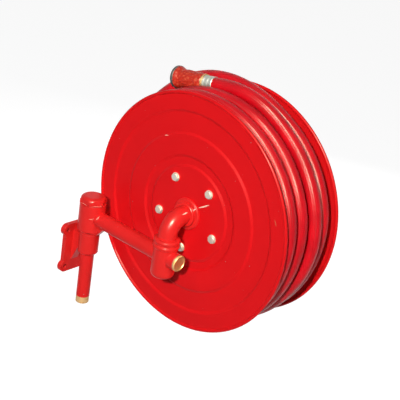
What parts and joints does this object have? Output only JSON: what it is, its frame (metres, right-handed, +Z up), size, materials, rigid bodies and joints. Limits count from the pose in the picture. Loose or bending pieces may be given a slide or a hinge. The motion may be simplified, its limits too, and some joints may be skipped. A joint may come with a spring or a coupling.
{
  "type": "fire hose reel",
  "caption": "Red wall-mounted fire hose reel on a swinging water pipe arm, with a steel drum full of red hose and a twist nozzle.",
  "frame": {"origin": "middle of the wall plate's back face, which lies on the wall", "axes": "+X out of the wall, along the arm as pictured; +Y along the drum's axle, from the front disc to the back disc; +Z up"},
  "size_m": [0.592, 0.299, 0.6296],
  "materials": {
    "red_casting": "gloss red paint over cast iron",
    "red_pipe": "gloss red paint on steel pipe",
    "red_sheet": "gloss red powder coat on pressed steel",
    "cast_iron": "bare casting, oiled",
    "brass": "turned brass",
    "bronze": "sintered bronze",
    "spring_steel": "plain steel",
    "zinc": "zinc plated",
    "ferrule_metal": "crimped aluminium",
    "seal_rubber": "black rubber",
    "red_fibre": "fibre washer",
    "hose": "glossy red hose cover",
    "nozzle_plastic": "orange-red plastic"
  },
  "bodies": {
    "bracket": {"wall_bracket": "red_casting", "inlet_pipe": "red_pipe", "inlet_nipple": "brass", "swivel_spindle": "brass", "swivel_washer": "bronze", "swivel_seals": "seal_rubber", "swivel_circlip": "spring_steel"},
    "arm": {"swivel_head": "red_casting", "swivel_bushes": "bronze", "cap_gasket": "seal_rubber", "swivel_cap": "red_casting", "arm_pipe": "red_pipe", "end_casting": "red_casting", "end_plug": "brass", "plug_washer": "red_fibre", "union_collar": "red_casting", "elbow": "red_casting", "hub_spindle": "brass", "hub_seals": "seal_rubber"},
    "drum": {"hub": "cast_iron", "hub_bushes": "bronze", "hub_gland": "red_casting", "front_disc": "red_sheet", "back_disc": "red_sheet", "barrel": "red_sheet", "front_bolts": "zinc", "front_washers": "zinc", "front_nuts": "zinc", "back_bolts": "zinc", "back_washers": "zinc", "back_nuts": "zinc", "hub_outlet": "brass", "hose_tail": "brass", "hose_lead": "hose", "hose_clamp": "spring_steel", "barrel_grommet": "seal_rubber", "hose_core": "hose", "hose_winding": "hose", "hose_ferrule": "ferrule_metal", "nozzle_tail": "brass"},
    "nozzle": {"nozzle_body": "nozzle_plastic", "nozzle_bumper": "seal_rubber", "jet_insert": "brass"}
  },
  "joints": [
    {"name": "arm_swing", "type": "hinge", "parent": "bracket", "child": "arm", "pos_m": [0.057, 0, 0.1025], "axis": [0, 0, 1], "range_deg": [-90, 3]},
    {"name": "drum_spin", "type": "hinge", "parent": "arm", "child": "drum", "pos_m": [0.303, 0.058, 0.196], "axis": [0, 1, 0], "continuous": true},
    {"name": "nozzle_twist", "type": "hinge", "parent": "drum", "child": "nozzle", "pos_m": [0.24363, 0.161, 0.47408], "axis": [-0.988, 0, -0.1543], "range_deg": [0, 180]}
  ]
}
